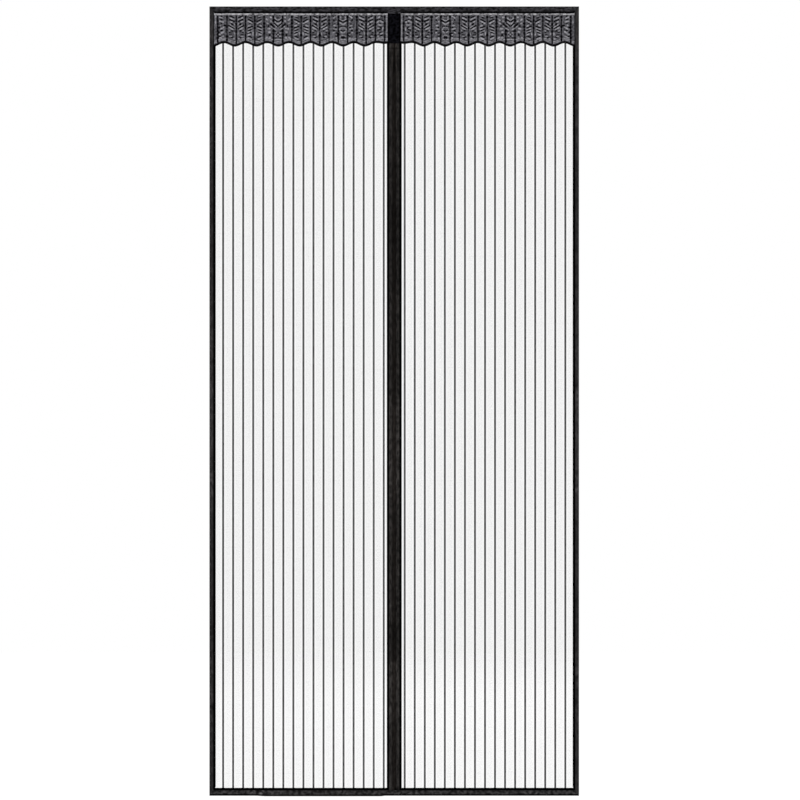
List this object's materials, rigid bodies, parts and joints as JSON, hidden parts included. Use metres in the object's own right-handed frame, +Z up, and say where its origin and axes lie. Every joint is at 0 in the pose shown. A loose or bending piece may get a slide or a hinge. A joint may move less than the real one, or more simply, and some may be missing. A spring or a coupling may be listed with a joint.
{
  "type": "magnetic insect screen",
  "caption": "Door-sized insect screen of striped net in two panels that close at the centre by magnets, bound in folded tape, with a scalloped lace strip along the top.",
  "frame": {"origin": "centre of the top fastening tape's back face, on the centre line of the screen", "axes": "+Z up along the screen's height, +X to the right seen from the front, +Y out of the back towards the door frame"},
  "size_m": [0.983, 0.007, 2.1],
  "materials": {
    "tape": "woven polyester tape, low sheen",
    "net": "fine open polyester net with woven stripes",
    "lace": "knitted lace",
    "patch": "dull black woven tape",
    "loop": "looped pile",
    "magnet": "sintered ferrite, ground faces"
  },
  "bodies": {
    "root": {"left_mesh": "net", "right_mesh": "net", "left_valance": "lace", "right_valance": "lace", "top_binding": "tape", "left_side_binding": "tape", "right_side_binding": "tape", "left_bottom_binding": "tape", "right_bottom_binding": "tape", "left_centre_binding": "tape", "right_centre_binding": "tape", "centre_patch": "patch", "top_loop_tape": "loop", "left_loop_tape": "loop", "right_loop_tape": "loop", "left_magnet_01": "magnet", "left_magnet_02": "magnet", "left_magnet_03": "magnet", "left_magnet_04": "magnet", "left_magnet_05": "magnet", "left_magnet_06": "magnet", "left_magnet_07": "magnet", "left_magnet_08": "magnet", "left_magnet_09": "magnet", "left_magnet_10": "magnet", "left_magnet_11": "magnet", "left_magnet_12": "magnet", "left_magnet_13": "magnet", "right_magnet_01": "magnet", "right_magnet_02": "magnet", "right_magnet_03": "magnet", "right_magnet_04": "magnet", "right_magnet_05": "magnet", "right_magnet_06": "magnet", "right_magnet_07": "magnet", "right_magnet_08": "magnet", "right_magnet_09": "magnet", "right_magnet_10": "magnet", "right_magnet_11": "magnet", "right_magnet_12": "magnet", "right_magnet_13": "magnet"}
  },
  "joints": []
}
